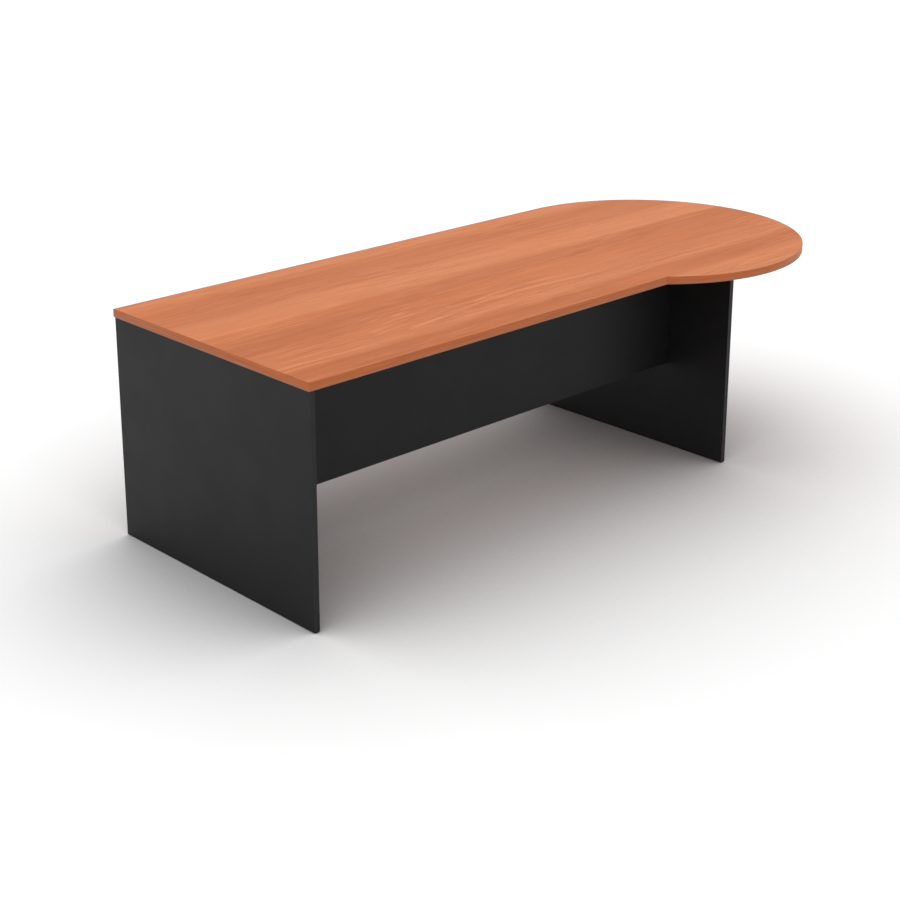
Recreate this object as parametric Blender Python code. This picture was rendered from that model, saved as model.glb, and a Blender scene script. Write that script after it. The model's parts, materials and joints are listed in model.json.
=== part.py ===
"""Executive desk with a round meeting end, in metres, +Z up.

The origin is on the floor under the middle of the top. +X runs along the desk to the round end,
-Y is the visitors' side and +Y is the user's side.
"""
import math

import bmesh
import bpy
from mathutils import Matrix, Vector

# Driving dimensions of the desk
desk_height = 0.720
straight_length = 1.800  # left end of the top to the centre of the round end
top_depth = 0.900  # near edge to far edge of the straight part
round_end_bulge = 0.140  # how far the round end stands out past the near edge
top_thickness = 0.025
panel_thickness = 0.018
end_inset = 0.005  # end panels in from the straight part's ends
front_inset = 0.005  # end panels in from the near edge
back_inset = 0.001  # end panels in from the far edge
modesty_setback = 0.250  # end panels' front edge to the modesty panel
modesty_height = 0.400
top_band_thickness = 0.002
panel_band_thickness = 0.001
band_arris = 0.0008  # bevel along the outer edges of the top's bands
corner_steps = 14  # steps of the round end from the inner corner to its outermost near point
half_turn_steps = 56  # steps from there round to the far edge

# Clearances
fit_gap = 0.0003  # between pieces that touch
slot_clearance = 0.00035  # round a bolt's neck and head, inside its cam
hole_end_clearance = 0.001  # past the end of a dowel, bolt or stem
cut_overrun = 0.001  # how far a cutter stands out of the face it cuts
weld_distance = 0.000001
sharp_angle = math.radians(35)  # faces that meet more sharply keep a crisp edge

# Cam locks
cam_distance = 0.034  # joint to the cam's axis
cam_radius = 0.0075
cam_floor = 0.0013
cam_chamfer = 0.0005
cam_recess_radius = 0.0032
cam_recess_depth = 0.0014
cam_cross_reach = 0.0029
cam_cross_width = 0.0018
cam_cross_depth = 0.0018
cap_radius = 0.0085
cap_thickness = 0.0012
cap_chamfer = 0.0005
cap_stub_radius = 0.0028
cam_sides = 16

# Connecting bolts
bolt_thread_radius = 0.00245
bolt_thread_length = 0.011
bolt_shank_radius = 0.0035
bolt_neck_radius = 0.0019
bolt_head_radius = 0.0030
bolt_head_height = 0.0032
bolt_chamfer = 0.0006
bolt_sides = 12

# Dowels
dowel_radius = 0.004
dowel_length = 0.030
dowel_face_depth = 0.012  # how deep a dowel sits in the board it meets face on
dowel_chamfer = 0.001
dowel_sides = 12

# Places of the fasteners
cam_behind_modesty = 0.060  # first cam of an end panel, from the modesty panel's back
cam_from_back = 0.100  # second cam of an end panel, from the panel's back edge
front_dowel_share = 0.35  # of the setback in front of the modesty panel
modesty_cam_shares = (0.15, 0.85)  # of the modesty panel's height
modesty_end_dowel_shares = (0.5,)
modesty_top_dowel_shares = (0.25, 0.75)  # of the modesty panel's length

# Levelling feet
foot_from_edge = 0.060  # foot's axis to the end panel's front or back edge
glide_radius = 0.008
glide_thickness = 0.0025
glide_chamfer = 0.0006
socket_floor = 0.0013
lip_height = 0.0011
hub_wall = 0.0015
ball_radius = 0.0032
ball_height = 0.0030
ball_chamfer = 0.0008
stem_neck_radius = 0.0024
stem_thread_radius = 0.0038
stem_chamfer = 0.0008
stem_spare_length = 0.010  # thread that stands past the insert
spanner_flats = 0.008
spanner_height = 0.003
insert_setback = 0.0015  # insert's end to the spanner flats
insert_length = 0.015
insert_wall = 0.0012
stem_bore_clearance = 0.0004
foot_sides = 16
stem_sides = 12

# Places worked out from the sizes: plan
round_radius = (top_depth + round_end_bulge) / 2
left_end = -(straight_length + round_radius) / 2
round_centre = left_end + straight_length
far_edge = round_radius
near_edge = far_edge - top_depth
left_outer = left_end + end_inset
left_inner = left_outer + panel_thickness
right_outer = round_centre - end_inset
right_inner = right_outer - panel_thickness
panel_front = near_edge + front_inset
panel_back = far_edge - back_inset
modesty_front = panel_front + modesty_setback
modesty_back = modesty_front + panel_thickness
modesty_middle = modesty_front + panel_thickness / 2
panel_skin = panel_band_thickness + fit_gap
top_skin = top_band_thickness + fit_gap

# Places worked out from the sizes: height
underside = desk_height - top_thickness
panel_top = underside - fit_gap
panel_foot = glide_thickness + fit_gap
modesty_foot = underside - modesty_height

# Cam, bolt and dowel sizes that follow from the others
cam_cavity = bolt_head_radius + slot_clearance
cam_neck_slot = bolt_neck_radius + slot_clearance
cam_seat_depth = panel_thickness / 2 + cam_cavity + cam_floor
dowel_edge_depth = dowel_length - dowel_face_depth

# Levelling foot sizes that follow from the others
stem_foot = socket_floor + fit_gap
socket_radius = ball_radius + fit_gap
socket_top = stem_foot + ball_height + fit_gap
hub_radius = socket_radius + hub_wall
hub_top = socket_top + lip_height
lip_radius = stem_neck_radius + slot_clearance
spanner_foot = hub_top + fit_gap
spanner_top = spanner_foot + spanner_height
spanner_corner = spanner_flats / 2 / math.cos(math.pi / 6)
insert_bore = stem_thread_radius + fit_gap
insert_foot = spanner_top + insert_setback
insert_top = insert_foot + insert_length
stem_top = insert_top + stem_spare_length
foot_bore = max(insert_bore + insert_wall, hub_radius, spanner_corner) + fit_gap
stem_bore = stem_thread_radius + stem_bore_clearance


def clear_scene():
    for thing in list(bpy.data.objects):
        bpy.data.objects.remove(thing, do_unlink=True)


def make_finish(name, colour, roughness, metallic):
    material = bpy.data.materials.new(name)
    material.use_nodes = True
    shader = material.node_tree.nodes["Principled BSDF"]
    shader.inputs["Base Color"].default_value = (*colour, 1)
    shader.inputs["Roughness"].default_value = roughness
    shader.inputs["Metallic"].default_value = metallic
    material.diffuse_color = (*colour, 1)
    return material


def make_mesh(name, shape, finish=None):
    """Turns a bmesh into a mesh with smooth round faces."""
    bmesh.ops.recalc_face_normals(shape, faces=shape.faces)
    mesh = bpy.data.meshes.new(name)
    shape.to_mesh(mesh)
    shape.free()
    mesh.shade_smooth()
    mesh.set_sharp_from_angle(angle=sharp_angle)
    if finish:
        mesh.materials.append(finish)
    return mesh


def place_mesh(name, mesh, frame):
    thing = bpy.data.objects.new(name, mesh)
    thing.matrix_world = frame
    bpy.context.scene.collection.objects.link(thing)
    return thing


def add_object(name, shape, finish, location=(0, 0, 0)):
    return place_mesh(name, make_mesh(name, shape, finish), Matrix.Translation(location))


def add_cutter(name, shape):
    """A shape that cuts or joins another object and isn't part of the desk."""
    cutter = add_object(name, shape, None)
    cutter.hide_render = True
    cutter.display_type = "WIRE"
    return cutter


def combine(thing, cutter, operation="DIFFERENCE"):
    boolean = thing.modifiers.new(cutter.name, "BOOLEAN")
    boolean.operation = operation
    boolean.solver = "EXACT"
    boolean.object = cutter


def block(size):
    shape = bmesh.new()
    bmesh.ops.create_cube(shape, size=1)
    bmesh.ops.scale(shape, vec=size, verts=shape.verts)
    return shape


def prism(outline, low, high):
    """An outline in X and Y, extruded from one height to another."""
    shape = bmesh.new()
    corners = [shape.verts.new((x, y, low)) for x, y in outline]
    base = shape.faces.new(corners)
    raised = bmesh.ops.extrude_face_region(shape, geom=[base])
    moved = [item for item in raised["geom"] if isinstance(item, bmesh.types.BMVert)]
    bmesh.ops.translate(shape, vec=(0, 0, high - low), verts=moved)
    return shape


def turned(profile, sides):
    """A solid spun about Z from points (radius, height); a profile off the axis is closed into a ring."""
    shape = bmesh.new()
    points = [shape.verts.new((radius, 0, height)) for radius, height in profile]
    edges = [shape.edges.new(pair) for pair in zip(points, points[1:])]
    if profile[0][0] > 0:
        edges.append(shape.edges.new((points[-1], points[0])))
    bmesh.ops.spin(shape, geom=points + edges, cent=(0, 0, 0), axis=(0, 0, 1), dvec=(0, 0, 0),
                   angle=math.tau, steps=sides, use_duplicate=False)
    bmesh.ops.remove_doubles(shape, verts=shape.verts, dist=weld_distance)
    return shape


def rod(radius, low, high, sides):
    return turned([(0, low), (radius, low), (radius, high), (0, high)], sides)


def laid_on_cam_axis(shape, height):
    """Turns a shape's Z to a joint frame's Y, on the cam's axis, at a height above the bolt's axis."""
    turn = Matrix.Rotation(-math.pi / 2, 4, "X")
    shape.transform(Matrix.Translation((0, height, cam_distance)) @ turn)
    return shape


def joint_frame(origin, along, face):
    """A frame with Z along the bolt and Y out of the face that the cam is let into."""
    along = Vector(along)
    face = Vector(face)
    across = face.cross(along)
    frame = Matrix((across, face, along)).transposed().to_4x4()
    frame.translation = origin
    return frame


def stamped(pieces):
    """One bmesh with a copy of each shape at each of its frames, from pairs (shape, frames)."""
    whole = bmesh.new()
    for shape, frames in pieces:
        unit = bpy.data.meshes.new("unit")
        shape.to_mesh(unit)
        shape.free()
        for frame in frames:
            unit.transform(frame)
            whole.from_mesh(unit)
            unit.transform(frame.inverted())
        bpy.data.meshes.remove(unit)
    return whole


# Shapes of the fasteners, in the joint's frame

def bolt_shape():
    head_low = cam_distance - bolt_head_height / 2
    head_high = cam_distance + bolt_head_height / 2
    shank_end = cam_distance - cam_radius - fit_gap
    return turned([
        (0, -bolt_thread_length),
        (bolt_thread_radius - bolt_chamfer, -bolt_thread_length),
        (bolt_thread_radius, -bolt_thread_length + bolt_chamfer),
        (bolt_thread_radius, fit_gap),
        (bolt_shank_radius, fit_gap),
        (bolt_shank_radius, shank_end),
        (bolt_neck_radius, shank_end),
        (bolt_neck_radius, head_low),
        (bolt_head_radius, head_low),
        (bolt_head_radius, head_high - bolt_chamfer),
        (bolt_head_radius - bolt_chamfer, head_high),
        (0, head_high),
    ], bolt_sides)


def dowel_shape():
    rim = dowel_radius - dowel_chamfer
    return turned([
        (0, -dowel_face_depth),
        (rim, -dowel_face_depth),
        (dowel_radius, -dowel_face_depth + dowel_chamfer),
        (dowel_radius, dowel_edge_depth - dowel_chamfer),
        (rim, dowel_edge_depth),
        (0, dowel_edge_depth),
    ], dowel_sides)


def cam_shape():
    rim = cam_radius - cam_chamfer
    recess = -fit_gap - cam_recess_depth
    drum = turned([
        (0, -cam_seat_depth),
        (rim, -cam_seat_depth),
        (cam_radius, -cam_seat_depth + cam_chamfer),
        (cam_radius, -fit_gap - cam_chamfer),
        (rim, -fit_gap),
        (cam_recess_radius, -fit_gap),
        (cam_recess_radius, recess),
        (0, recess),
    ], cam_sides)
    return laid_on_cam_axis(drum, panel_thickness / 2)


def cam_mouth_shape():
    """The way in for the bolt's head, turned away from the joint, and the slot that holds its neck."""
    reach = cam_radius + cut_overrun
    step = -bolt_head_height / 2 - slot_clearance
    outline = [
        (-cam_neck_slot, reach), (-cam_neck_slot, -step), (-cam_cavity, -step), (-cam_cavity, -reach),
        (cam_cavity, -reach), (cam_cavity, -step), (cam_neck_slot, -step), (cam_neck_slot, reach),
    ]
    return laid_on_cam_axis(prism(outline, -cam_cavity, cam_cavity), 0)


def cam_cross_shape():
    reach = cam_cross_reach
    half = cam_cross_width / 2
    outline = [
        (half, half), (reach, half), (reach, -half), (half, -half), (half, -reach), (-half, -reach),
        (-half, -half), (-reach, -half), (-reach, half), (-half, half), (-half, reach), (half, reach),
    ]
    recess = -fit_gap - cam_recess_depth
    cross = prism(outline, recess - cam_cross_depth, recess + cut_overrun)
    return laid_on_cam_axis(cross, panel_thickness / 2)


def cap_shape():
    outer = fit_gap + cap_thickness
    cap = turned([
        (0, -cam_recess_depth),
        (cap_stub_radius, -cam_recess_depth),
        (cap_stub_radius, fit_gap),
        (cap_radius, fit_gap),
        (cap_radius, outer - cap_chamfer),
        (cap_radius - cap_chamfer, outer),
        (0, outer),
    ], cam_sides)
    return laid_on_cam_axis(cap, panel_thickness / 2)


# Holes for the fasteners, in the joint's frame

def pilot_hole():
    depth = bolt_thread_length + hole_end_clearance
    return rod(bolt_thread_radius + fit_gap, -depth, cut_overrun, bolt_sides)


def bolt_channel():
    return rod(bolt_shank_radius + fit_gap, -cut_overrun, cam_distance, bolt_sides)


def cam_pocket():
    pocket = rod(cam_radius + fit_gap, -cam_seat_depth - fit_gap, cut_overrun, cam_sides)
    return laid_on_cam_axis(pocket, panel_thickness / 2)


def dowel_face_hole():
    depth = dowel_face_depth + hole_end_clearance
    return rod(dowel_radius + fit_gap, -depth, cut_overrun, dowel_sides)


def dowel_edge_hole():
    depth = dowel_edge_depth + hole_end_clearance
    return rod(dowel_radius + fit_gap, -cut_overrun, depth, dowel_sides)


# Frames of the joints, which also give the fasteners' places

def share_of(low, high, share):
    return low + (high - low) * share


def end_panel_frames(middle, inward):
    """Cam and dowel frames of the joint between an end panel and the top."""
    cams = [modesty_back + cam_behind_modesty, panel_back - cam_from_back]
    dowels = [share_of(panel_front, modesty_front, front_dowel_share), sum(cams) / len(cams)]
    down = (0, 0, -1)
    cam_frames = [joint_frame((middle, y, underside), down, inward) for y in cams]
    dowel_frames = [joint_frame((middle, y, underside), down, inward) for y in dowels]
    return cam_frames, dowel_frames


def modesty_end_frames(plane, along):
    """Cam and dowel frames of the joint between the modesty panel and an end panel."""
    def frames(shares):
        heights = [share_of(modesty_foot, underside, share) for share in shares]
        return [joint_frame((plane, modesty_middle, z), along, (0, 1, 0)) for z in heights]
    return frames(modesty_cam_shares), frames(modesty_end_dowel_shares)


def modesty_top_frames():
    """Dowel frames of the joint between the modesty panel and the top, which has no cams."""
    places = [share_of(left_inner, right_inner, share) for share in modesty_top_dowel_shares]
    return [], [joint_frame((x, modesty_middle, underside), (0, 0, -1), (0, 1, 0)) for x in places]


# Outline of the top

def inner_corner(inset):
    """Where the straight near edge meets the round end, on the outline moved in by the inset."""
    radius = round_radius - inset
    rise = near_edge + inset
    return round_centre - math.sqrt(radius ** 2 - rise ** 2)


def round_end(inset, start_gap=0):
    """Points from the inner corner round the meeting end to where the far edge begins."""
    radius = round_radius - inset
    start = math.atan2(near_edge + inset, inner_corner(inset) - round_centre) + start_gap / radius
    lowest = -math.pi / 2
    angles = [start + (lowest - start) * step / corner_steps for step in range(corner_steps)]
    angles += [lowest + math.pi * step / half_turn_steps for step in range(half_turn_steps + 1)]
    return [(round_centre + radius * math.cos(a), radius * math.sin(a)) for a in angles]


def top_outline(inset):
    left = left_end + inset
    return [(left, near_edge + inset)] + round_end(inset) + [(left, far_edge - inset)]


def edge_band(outer, inner, low, high, arris):
    """A strip between two rows of points, with its long outer edges bevelled."""
    shape = prism(outer + inner[::-1], low, high)
    rim = [vert for vert in shape.verts
           if any(math.dist(vert.co.xy, point) < weld_distance for point in outer)]
    long_edges = [edge for edge in shape.edges
                  if all(vert in rim for vert in edge.verts) and edge.verts[0].co.z == edge.verts[1].co.z]
    bmesh.ops.bevel(shape, geom=long_edges, offset=arris, segments=1, affect="EDGES")
    return shape


def add_top(cherry_board, cherry_edge):
    top = add_object("top_panel", prism(top_outline(top_skin), underside, desk_height), cherry_board)
    inner_left = left_end + top_skin
    near_inner = near_edge + top_band_thickness
    far_inner = far_edge - top_band_thickness
    bands = {
        "top_left_edge_band": (
            [(left_end, far_edge), (left_end, near_edge)],
            [(left_end + top_band_thickness, far_edge), (left_end + top_band_thickness, near_edge)]),
        "top_near_edge_band": (
            [(inner_left, near_edge), (inner_corner(0) - fit_gap, near_edge)],
            [(inner_left, near_inner), (inner_corner(top_band_thickness) - fit_gap, near_inner)]),
        "top_round_end_band": (
            round_end(0, fit_gap) + [(inner_left, far_edge)],
            round_end(top_band_thickness, fit_gap) + [(inner_left, far_inner)]),
    }
    arris = min(band_arris, top_band_thickness / 2)
    for name, (outer, inner) in bands.items():
        add_object(name, edge_band(outer, inner, underside, desk_height, arris), cherry_edge)
    return top


def add_board(name, low, high, finish):
    """A board between two opposite corners."""
    low = Vector(low)
    high = Vector(high)
    return add_object(name, block(high - low), finish, (low + high) / 2)


def add_end_panel(side, outer, inner, board, edge):
    west = min(outer, inner)
    east = max(outer, inner)
    front = panel_front + panel_skin
    back = panel_back - panel_skin
    name = f"{side}_end_panel"
    panel = add_board(name, (west, front, panel_foot + panel_skin), (east, back, panel_top), board)
    add_board(f"{name}_front_band", (west, panel_front, panel_foot),
              (east, panel_front + panel_band_thickness, panel_top), edge)
    add_board(f"{name}_back_band", (west, panel_back - panel_band_thickness, panel_foot),
              (east, panel_back, panel_top), edge)
    foot_band = add_board(f"{name}_foot_band", (west, front, panel_foot),
                          (east, back, panel_foot + panel_band_thickness), edge)
    return panel, foot_band


def add_modesty_panel(board, edge):
    west = left_inner + fit_gap
    east = right_inner - fit_gap
    panel = add_board("modesty_panel", (west, modesty_front, modesty_foot + panel_skin),
                      (east, modesty_back, panel_top), board)
    add_board("modesty_panel_bottom_band", (west, modesty_front, modesty_foot),
              (east, modesty_back, modesty_foot + panel_band_thickness), edge)
    return panel


def add_fasteners(joint, cams, dowels, meshes):
    """The bolts, cams, caps and dowels of one joint, each its own object."""
    for number, frame in enumerate(cams, 1):
        place_mesh(f"{joint}_bolt_{number}", meshes["bolt"], frame)
        place_mesh(f"{joint}_cam_cap_{number}", meshes["cap"], frame)
        cam = place_mesh(f"{joint}_cam_lock_{number}", meshes["cam"], frame)
        slots = stamped([(cam_mouth_shape(), [frame]), (cam_cross_shape(), [frame])])
        combine(cam, add_cutter(f"{joint}_cam_cutter_{number}", slots))
    for number, frame in enumerate(dowels, 1):
        place_mesh(f"{joint}_dowel_{number}", meshes["dowel"], frame)


def foot_bore_shape():
    seat = insert_top + fit_gap
    return turned([
        (0, panel_foot - cut_overrun),
        (foot_bore, panel_foot - cut_overrun),
        (foot_bore, seat),
        (stem_bore, seat),
        (stem_bore, stem_top + hole_end_clearance),
        (0, stem_top + hole_end_clearance),
    ], foot_sides)


def foot_base_shape():
    return turned([
        (0, 0),
        (glide_radius - glide_chamfer, 0),
        (glide_radius, glide_chamfer),
        (glide_radius, glide_thickness - glide_chamfer),
        (glide_radius - glide_chamfer, glide_thickness),
        (hub_radius, glide_thickness),
        (hub_radius, hub_top),
        (lip_radius, hub_top),
        (lip_radius, socket_top),
        (socket_radius, socket_top),
        (socket_radius, socket_floor),
        (0, socket_floor),
    ], foot_sides)


def foot_stem_shape():
    ball_top = stem_foot + ball_height
    return turned([
        (0, stem_foot),
        (ball_radius - ball_chamfer, stem_foot),
        (ball_radius, stem_foot + ball_chamfer),
        (ball_radius, ball_top - ball_chamfer),
        (stem_neck_radius, ball_top),
        (stem_neck_radius, spanner_foot),
        (stem_thread_radius, spanner_foot),
        (stem_thread_radius, stem_top - stem_chamfer),
        (stem_thread_radius - stem_chamfer, stem_top),
        (0, stem_top),
    ], stem_sides)


def foot_insert_shape():
    outer = foot_bore - fit_gap
    return turned([
        (insert_bore, insert_foot),
        (outer, insert_foot),
        (outer, insert_top),
        (insert_bore, insert_top),
    ], foot_sides)


def spanner_flats_shape():
    shape = bmesh.new()
    bmesh.ops.create_cone(shape, cap_ends=True, segments=6, radius1=spanner_corner,
                          radius2=spanner_corner, depth=spanner_height)
    bmesh.ops.translate(shape, vec=(0, 0, spanner_foot + spanner_height / 2), verts=shape.verts)
    return shape


def add_foot(name, x, y, meshes):
    """A levelling foot: its base travels along the axis, and its stem turns about it."""
    axis = place_mesh(f"{name}_axis", None, Matrix.Translation((x, y, 0)))
    here = Matrix.Identity(4)
    stem = place_mesh(f"{name}_stem", meshes["foot_stem"], here)
    flats = add_cutter(f"{name}_spanner_flats", spanner_flats_shape())
    combine(stem, flats, "UNION")
    base = place_mesh(f"{name}_base", meshes["foot_base"], here)
    insert = place_mesh(f"{name}_insert", meshes["foot_insert"], here)
    for thing in (stem, flats, base, insert):
        thing.parent = axis


def build():
    clear_scene()
    cherry_board = make_finish("cherry_board", (0.604, 0.216, 0.107), 0.45, 0)
    cherry_edge = make_finish("cherry_edge", (0.418, 0.122, 0.050), 0.45, 0)
    charcoal_board = make_finish("charcoal_board", (0.030, 0.030, 0.031), 0.55, 0)
    charcoal_edge = make_finish("charcoal_edge", (0.034, 0.034, 0.035), 0.5, 0)
    bright_steel = make_finish("bright_steel", (0.55, 0.55, 0.53), 0.3, 1)
    cast_zinc = make_finish("cast_zinc", (0.48, 0.48, 0.47), 0.45, 1)
    black_plastic = make_finish("black_plastic", (0.018, 0.018, 0.018), 0.55, 0)
    beech = make_finish("beech", (0.55, 0.36, 0.20), 0.7, 0)
    meshes = {
        "bolt": make_mesh("bolt", bolt_shape(), bright_steel),
        "cam": make_mesh("cam", cam_shape(), cast_zinc),
        "cap": make_mesh("cap", cap_shape(), black_plastic),
        "dowel": make_mesh("dowel", dowel_shape(), beech),
        "foot_stem": make_mesh("foot_stem", foot_stem_shape(), bright_steel),
        "foot_base": make_mesh("foot_base", foot_base_shape(), black_plastic),
        "foot_insert": make_mesh("foot_insert", foot_insert_shape(), cast_zinc),
    }

    top = add_top(cherry_board, cherry_edge)
    left, left_foot_band = add_end_panel("left", left_outer, left_inner, charcoal_board, charcoal_edge)
    right, right_foot_band = add_end_panel("right", right_outer, right_inner, charcoal_board, charcoal_edge)
    modesty = add_modesty_panel(charcoal_board, charcoal_edge)

    left_middle = (left_outer + left_inner) / 2
    right_middle = (right_outer + right_inner) / 2
    joints = {
        "left_panel_to_top": (left, top, end_panel_frames(left_middle, (1, 0, 0))),
        "right_panel_to_top": (right, top, end_panel_frames(right_middle, (-1, 0, 0))),
        "modesty_to_left_panel": (modesty, left, modesty_end_frames(left_inner, (1, 0, 0))),
        "modesty_to_right_panel": (modesty, right, modesty_end_frames(right_inner, (-1, 0, 0))),
        "modesty_to_top": (modesty, top, modesty_top_frames()),
    }
    for joint, (edge_board, face_board, (cams, dowels)) in joints.items():
        add_fasteners(joint, cams, dowels, meshes)
        pockets = stamped([(cam_pocket(), cams), (dowel_edge_hole(), dowels)])
        combine(edge_board, add_cutter(f"{joint}_pocket_cutter", pockets))
        if cams:
            channels = stamped([(bolt_channel(), cams)])
            combine(edge_board, add_cutter(f"{joint}_channel_cutter", channels))
        holes = stamped([(pilot_hole(), cams), (dowel_face_hole(), dowels)])
        combine(face_board, add_cutter(f"{joint}_hole_cutter", holes))

    feet = {"front": panel_front + foot_from_edge, "back": panel_back - foot_from_edge}
    for side, middle, panel, foot_band in (("left", left_middle, left, left_foot_band),
                                           ("right", right_middle, right, right_foot_band)):
        for end, y in feet.items():
            add_foot(f"{side}_{end}_foot", middle, y, meshes)
        places = [Matrix.Translation((middle, y, 0)) for y in feet.values()]
        bores = add_cutter(f"{side}_foot_bore_cutter", stamped([(foot_bore_shape(), places)]))
        combine(panel, bores)
        combine(foot_band, bores)


build()
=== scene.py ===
# %% [markdown]
# # An executive desk with a round meeting end
#
# The desk's solids were made before this lesson: boards, edge bands, cam locks, dowels and
# levelling feet, each in its true place. Here they are dressed. The boards keep their solids and
# get finishes. Thin or small pieces, whose rounding and moulding would be lost at the solids'
# plain shape, are made again in finer mesh. All lengths are in metres, +X runs along the desk to
# the round end, -Y is the visitors' side and Z is up.

# %% Load the desk
import math

import bmesh
import bpy
from mathutils import Matrix, Vector
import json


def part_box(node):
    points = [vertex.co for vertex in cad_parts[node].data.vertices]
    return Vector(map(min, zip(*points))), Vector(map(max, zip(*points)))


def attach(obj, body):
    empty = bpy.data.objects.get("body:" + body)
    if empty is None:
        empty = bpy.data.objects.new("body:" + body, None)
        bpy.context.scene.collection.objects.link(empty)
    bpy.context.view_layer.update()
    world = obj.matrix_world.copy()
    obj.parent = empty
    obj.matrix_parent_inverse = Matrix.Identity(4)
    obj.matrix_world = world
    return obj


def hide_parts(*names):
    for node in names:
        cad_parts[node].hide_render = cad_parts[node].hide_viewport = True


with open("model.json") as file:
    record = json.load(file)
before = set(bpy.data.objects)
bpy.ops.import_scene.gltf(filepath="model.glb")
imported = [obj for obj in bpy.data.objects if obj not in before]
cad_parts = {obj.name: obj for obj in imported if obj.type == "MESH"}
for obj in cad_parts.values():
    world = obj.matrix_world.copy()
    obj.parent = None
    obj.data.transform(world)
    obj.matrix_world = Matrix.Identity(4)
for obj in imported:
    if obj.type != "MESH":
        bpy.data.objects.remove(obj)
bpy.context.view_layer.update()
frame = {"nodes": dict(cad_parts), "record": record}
slots = {part["node"]: part["material_slot"] for part in frame["record"]["subparts"]}

# %% [markdown]
# ## Camera
#
# The picture was taken from the visitors' side and from the left, a little above the top. Its
# lens and place were worked out from the desk's own corners. A camera looks along its own -Z, so
# its place is told by three directions: right, up and back.

# %% Set the camera
heading, lift, roll = -0.76594, 0.30222, 0.00188  # radians: round the desk, down onto it, and tilt
camera_place = (-3.7918, -3.6386, 2.1948)
film_width = 36  # mm
lens_length = 68.963  # mm
lens_shift = -0.1459  # of the film's width
back = Vector((math.sin(heading) * math.cos(lift), -math.cos(heading) * math.cos(lift), math.sin(lift)))
right = (-back).cross(Vector((0, 0, 1))).normalized()
up = right.cross(-back)
rolled_right = math.cos(roll) * right + math.sin(roll) * up
rolled_up = math.cos(roll) * up - math.sin(roll) * right

camera = bpy.data.objects.new("camera", bpy.data.cameras.new("camera"))
bpy.context.collection.objects.link(camera)
camera.matrix_world = (Matrix.Translation(camera_place)
                       @ Matrix((rolled_right, rolled_up, back)).transposed().to_4x4())
camera.data.sensor_width = film_width
camera.data.lens = lens_length
camera.data.shift_y = lens_shift
bpy.context.scene.camera = camera
print("camera stands", round(camera.location.length, 2), "m from the desk's middle")

# %% [markdown]
# ## Node helpers
#
# A material is a tree of nodes. Three small helpers keep the cells that follow short: one adds a
# node with its settings and inputs, one does sums, and one mixes two colours. A colour is always
# written as the linear red, green and blue that a shader wants, and a 1.

# %% Make the node helpers
def add_node(tree, kind, inputs=None, **settings):
    made = tree.nodes.new(kind)
    for name, value in settings.items():
        setattr(made, name, value)
    for name, value in (inputs or {}).items():
        if isinstance(value, bpy.types.NodeSocket):
            tree.links.new(value, made.inputs[name])
        else:
            made.inputs[name].default_value = value
    return made


def work_out(tree, operation, *values, clamp=False):
    return add_node(tree, "ShaderNodeMath", dict(enumerate(values)), operation=operation,
                    use_clamp=clamp).outputs[0]


def mix_colours(tree, share, first, second, way="MIX"):
    return add_node(tree, "ShaderNodeMix", {0: share, 6: first, 7: second}, data_type="RGBA",
                    blend_type=way).outputs[2]


print("helpers for nodes are ready")

# %% [markdown]
# ## Floor and sky
#
# The desk stands in a white studio, on a sheet that runs on past the picture. The sheet that lights
# the desk from below is pale grey. The one that the camera and reflections see is white, so that it
# melts into the background. The picture's shadow is deeper than a white floor holds under such
# soft light, so the seen floor also darkens with the share of the sky that the desk hides from it.
# An ambient occlusion node tells that share, and the Light Path node tells which kind of ray has
# met the floor.

# %% Mix the floor's finish
def is_seen(tree):
    """1 for a ray from the camera, a reflection or through glass, and 0 for one that lights."""
    path = add_node(tree, "ShaderNodeLightPath").outputs
    seen = work_out(tree, "MAXIMUM", path["Is Camera Ray"], path["Is Glossy Ray"])
    return work_out(tree, "MAXIMUM", seen, path["Is Transmission Ray"])


def start_material(name):
    material = bpy.data.materials.new(name)
    material.use_nodes = True
    material.node_tree.nodes.clear()
    return material, material.node_tree


lighting_grey = (0.8, 0.8, 0.8, 1)
seen_white = 1.14  # of the seen floor under an open sky, a little over 1 so that it melts away early
hiding_distance = 4.0  # how far off a piece can be and still hide the sky
floor_finish, tree = start_material("studio_floor")
open_sky = add_node(tree, "ShaderNodeAmbientOcclusion", {"Distance": hiding_distance},
                    samples=16).outputs["AO"]
seen_grey = work_out(tree, "MULTIPLY", open_sky, seen_white)
shade = mix_colours(tree, is_seen(tree), lighting_grey, seen_grey)
paint = add_node(tree, "ShaderNodeBsdfDiffuse", {"Color": shade})
add_node(tree, "ShaderNodeOutputMaterial", {"Surface": paint.outputs[0]})
print("floor's finish has", len(tree.nodes), "nodes")

# %% [markdown]
# The sheet itself is one big square. It belongs to the studio and not to the desk.

# %% Lay the floor
floor_reach = 40  # from the desk's middle to each side
floor_corners = [(x * floor_reach, y * floor_reach, 0) for x, y in ((-1, -1), (1, -1), (1, 1), (-1, 1))]
floor_mesh = bpy.data.meshes.new("studio_floor")
floor_mesh.from_pydata(floor_corners, [], [(0, 1, 2, 3)])
floor_mesh.materials.append(floor_finish)
floor = bpy.data.objects.new("studio_floor", floor_mesh)
bpy.context.collection.objects.link(floor)
print("floor laid", [round(side) for side in floor.dimensions[:2]], "m")

# %% [markdown]
# The light is an even white sky, the same from every side, as in a light tent. It throws no hard
# shadow: a place is dim only where the desk hides much of the sky. The Standard view shows the
# colours as they come, without the soft curve of a film.

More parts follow.
